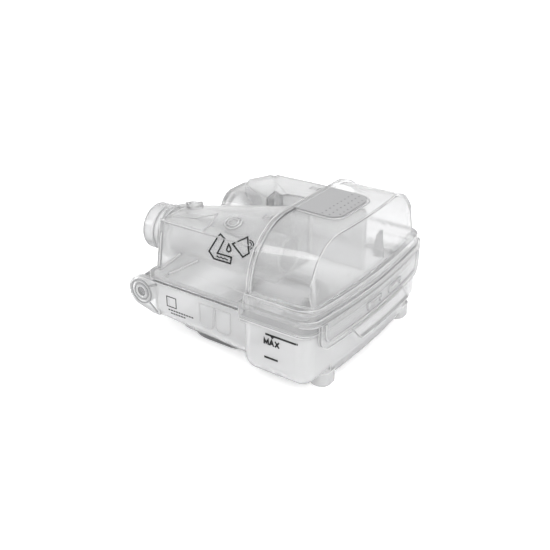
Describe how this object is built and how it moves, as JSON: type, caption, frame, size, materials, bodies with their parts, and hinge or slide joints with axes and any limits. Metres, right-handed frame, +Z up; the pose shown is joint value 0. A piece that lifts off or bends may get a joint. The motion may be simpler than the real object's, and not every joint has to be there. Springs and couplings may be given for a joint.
{
  "type": "cpap humidifier water tub",
  "caption": "Clear water tub of a bedside breathing machine's humidifier, with a hinged domed lid, inlet nozzle, outlet arch, heater plate and finger tab.",
  "frame": {"origin": "on the heater plate's underside, which is the surface the tub stands on, midway across its width, 19.5 mm behind the step between its wider front part and its slimmer rear part", "axes": "+X towards the front panel and its finger tab, +Y across to the outlet side, +Z up"},
  "size_m": [0.1453, 0.134, 0.0868],
  "materials": {
    "clear_plastic": "clear, glossy",
    "nozzle_plastic": "translucent, satin",
    "grip_rubber": "soft, matt",
    "clear_silicone": "translucent, soft",
    "plate_steel": "brushed",
    "clear_pin": "clear, glossy"
  },
  "bodies": {
    "base": {"base_tub": "clear_plastic", "plate_seal": "clear_silicone", "heater_plate": "plate_steel", "plate_frame": "clear_plastic", "mid_seal": "clear_silicone", "catch_left": "clear_plastic", "catch_right": "clear_plastic"},
    "lid": {"lid_dome": "clear_plastic", "thumb_grip": "grip_rubber", "front_panel": "clear_plastic", "lid_rear": "clear_plastic", "inlet_collar": "nozzle_plastic", "inlet_nozzle": "nozzle_plastic", "inlet_tube": "clear_plastic", "outlet_tube": "clear_plastic", "outlet_seal": "clear_silicone", "splash_baffle": "clear_plastic", "hinge_pin_left": "clear_pin", "hinge_pin_right": "clear_pin"}
  },
  "joints": [
    {"name": "lid_hinge", "type": "hinge", "parent": "base", "child": "lid", "pos_m": [-0.0587, 0, 0.0263], "axis": [0, -1, 0], "range_deg": [0, 100]}
  ]
}
